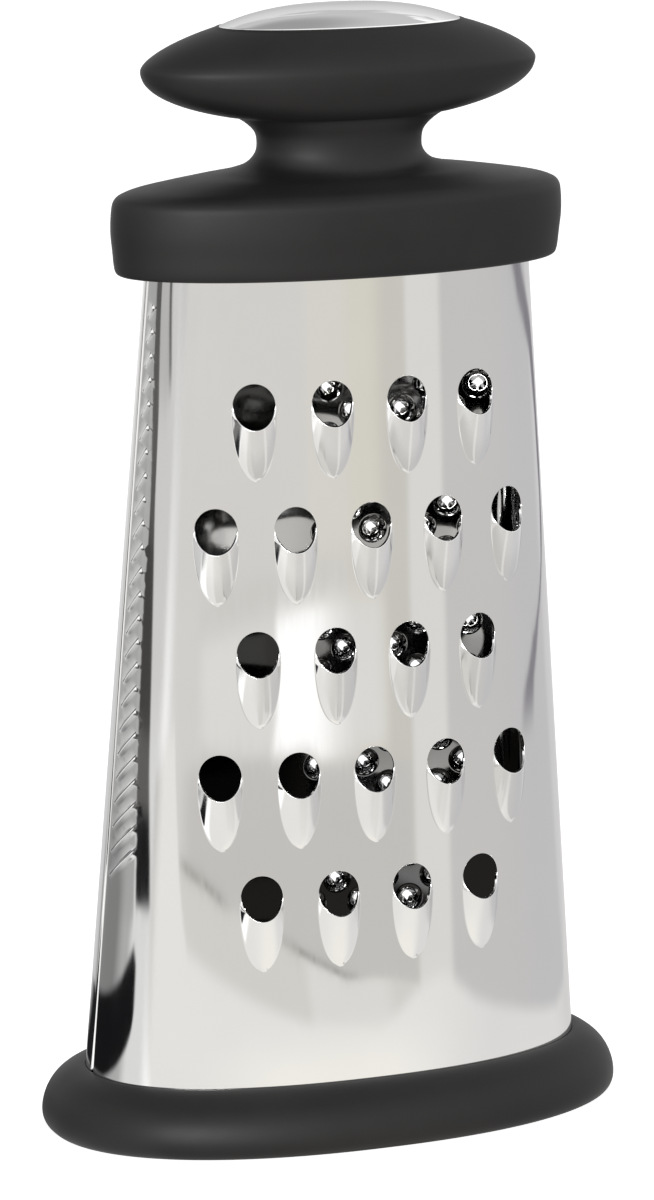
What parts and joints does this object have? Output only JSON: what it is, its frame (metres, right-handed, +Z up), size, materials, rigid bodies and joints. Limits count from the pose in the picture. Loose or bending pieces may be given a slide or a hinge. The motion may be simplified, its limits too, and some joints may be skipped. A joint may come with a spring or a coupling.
{
  "type": "oval hand grater",
  "caption": "Tapered oval hand grater with a coarse face, a fine face and a zester edge, a soft mushroom-knob handle and a soft ring foot.",
  "frame": {"origin": "centre of the footprint, on the surface the grater stands on", "axes": "+Z up through the knob, +X along the oval's long axis, -Y out of the coarse front face"},
  "size_m": [0.1296, 0.0706, 0.24],
  "materials": {
    "polished_steel": "polished",
    "soft_touch_black": "matte",
    "rigid_black": "satin",
    "cap_chrome": "polished",
    "screw_steel": "satin"
  },
  "bodies": {
    "root": {"front_panel": "polished_steel", "rear_panel": "polished_steel", "handle_core": "rigid_black", "soft_grip": "soft_touch_black", "cap_plate": "cap_chrome", "top_insert": "rigid_black", "insert_screw_left": "screw_steel", "insert_screw_right": "screw_steel", "base_frame": "rigid_black", "base_foot": "soft_touch_black"}
  },
  "joints": []
}
